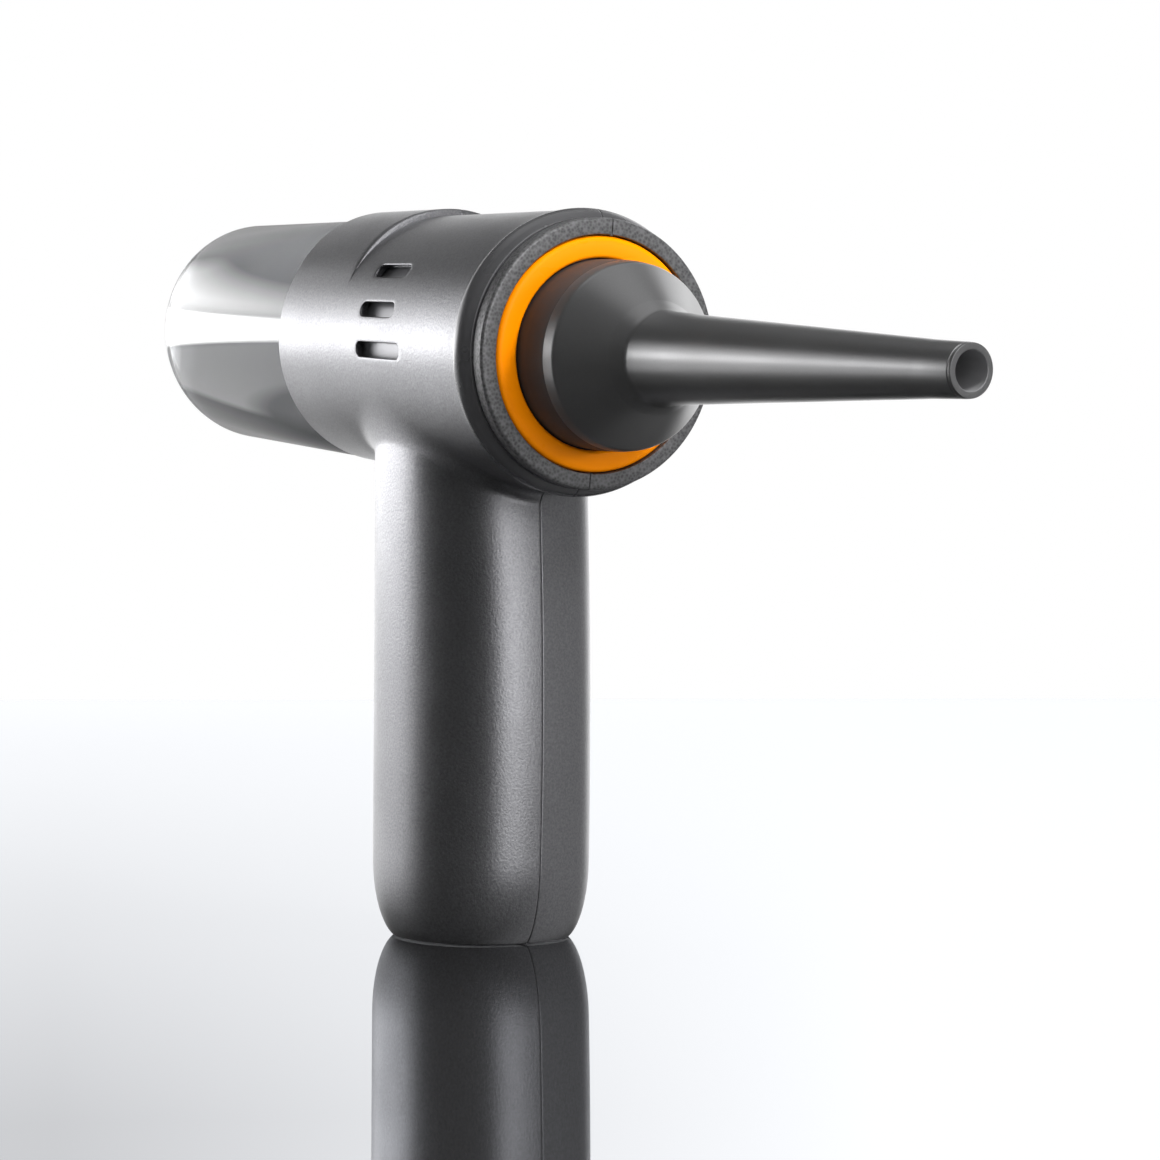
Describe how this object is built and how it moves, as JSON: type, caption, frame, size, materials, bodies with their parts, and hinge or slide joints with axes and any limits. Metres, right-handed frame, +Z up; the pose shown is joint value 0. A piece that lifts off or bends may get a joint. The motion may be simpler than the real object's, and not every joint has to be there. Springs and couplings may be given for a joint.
{
  "type": "electric air mattress pump",
  "caption": "Cordless hand-held air pump: a tilted round barrel on an upright handle, with a tapered push-on nozzle, a bright outlet ring and a clear dust cup.",
  "frame": {"origin": "centre of the foot, on the surface that the pump stands on", "axes": "+X towards the outlet and its nozzle, +Z up the handle, and +Y to the left of someone who looks along +X"},
  "size_m": [0.296, 0.0598, 0.1812],
  "materials": {
    "body_shell": "satin gunmetal paint with a fine grain",
    "orange_ring": "glossy",
    "nozzle_grey": "dark grey, half gloss",
    "dark_plastic": "black, moulded",
    "rubber": "matt",
    "sleeve_metal": "satin",
    "pale_plastic": "half gloss",
    "steel": "polished",
    "magnet": "ground",
    "motor_metal": "plated",
    "lamination": "stacked sheet",
    "copper": "enamelled copper wire",
    "filter_dark": "moulded",
    "filter_paper": "pleated paper",
    "smoked_clear": "clear, lightly smoked",
    "cell_wrap": "shrink wrap",
    "board": "solder mask",
    "lens": "clear",
    "switch_black": "moulded",
    "trigger_silver": "satin silver",
    "lead_wire": "insulation"
  },
  "bodies": {
    "housing": {"housing_left": "body_shell", "housing_right": "body_shell", "outlet_ring": "orange_ring", "outlet_socket": "dark_plastic", "motor_sleeve": "sleeve_metal", "impeller_shroud": "dark_plastic", "diffuser": "dark_plastic", "bearing_front": "steel", "bearing_rear": "steel", "motor_can": "motor_metal", "motor_end_bell": "motor_metal", "stator_core": "lamination", "stator_coils": "copper", "motor_mount_front": "rubber", "motor_mount_rear": "rubber", "neck_ring": "dark_plastic", "intake_guard": "dark_plastic", "cup_seal": "rubber", "filter_frame": "filter_dark", "filter_pleats": "filter_paper", "filter_cap": "filter_dark", "battery_cell_1": "cell_wrap", "battery_cell_2": "cell_wrap", "battery_cell_3": "cell_wrap", "battery_holder_lower": "dark_plastic", "battery_holder_upper": "dark_plastic", "control_board": "board", "charge_port": "steel", "status_lens": "lens", "switch_board": "board", "power_switch": "switch_black", "trigger_spring": "steel", "motor_leads": "lead_wire", "housing_screws": "steel", "foot_pad": "rubber"},
    "nozzle_body": {"nozzle": "nozzle_grey", "nozzle_seal": "rubber"},
    "rotor": {"impeller": "pale_plastic", "motor_shaft": "steel", "rotor_magnet": "magnet"},
    "cup": {"dust_cup": "smoked_clear", "inlet_duct": "smoked_clear", "flap_pin": "steel"},
    "flap": {"inlet_flap": "rubber"},
    "trigger": {"trigger_button": "trigger_silver"},
    "cover": {"port_cover": "rubber"}
  },
  "joints": [
    {"name": "nozzle_pull", "type": "slide", "parent": "housing", "child": "nozzle_body", "axis": [0.9851, 0, -0.1719], "range_m": [0, 0.03]},
    {"name": "cup_pull", "type": "slide", "parent": "housing", "child": "cup", "axis": [-0.9851, 0, 0.1719], "range_m": [0, 0.06]},
    {"name": "flap_swing", "type": "hinge", "parent": "cup", "child": "flap", "pos_m": [-0.1123, 0, 0.16455], "axis": [0, -1, 0], "range_deg": [0, 33], "stiffness_Nm_per_rad": 0.0006, "springref_deg": -17.19},
    {"name": "rotor_spin", "type": "hinge", "parent": "housing", "child": "rotor", "pos_m": [-0.03253, 0, 0.13651], "axis": [0.9851, 0, -0.1719], "continuous": true},
    {"name": "trigger_press", "type": "slide", "parent": "housing", "child": "trigger", "axis": [1, 0, 0], "range_m": [0, 0.002], "stiffness_N_per_m": 600, "springref_m": -0.001, "deforming": ["trigger_spring"]},
    {"name": "cover_open", "type": "hinge", "parent": "housing", "child": "cover", "pos_m": [-0.026, 0, 0.0211], "axis": [0, -1, 0], "range_deg": [0, 95]}
  ]
}
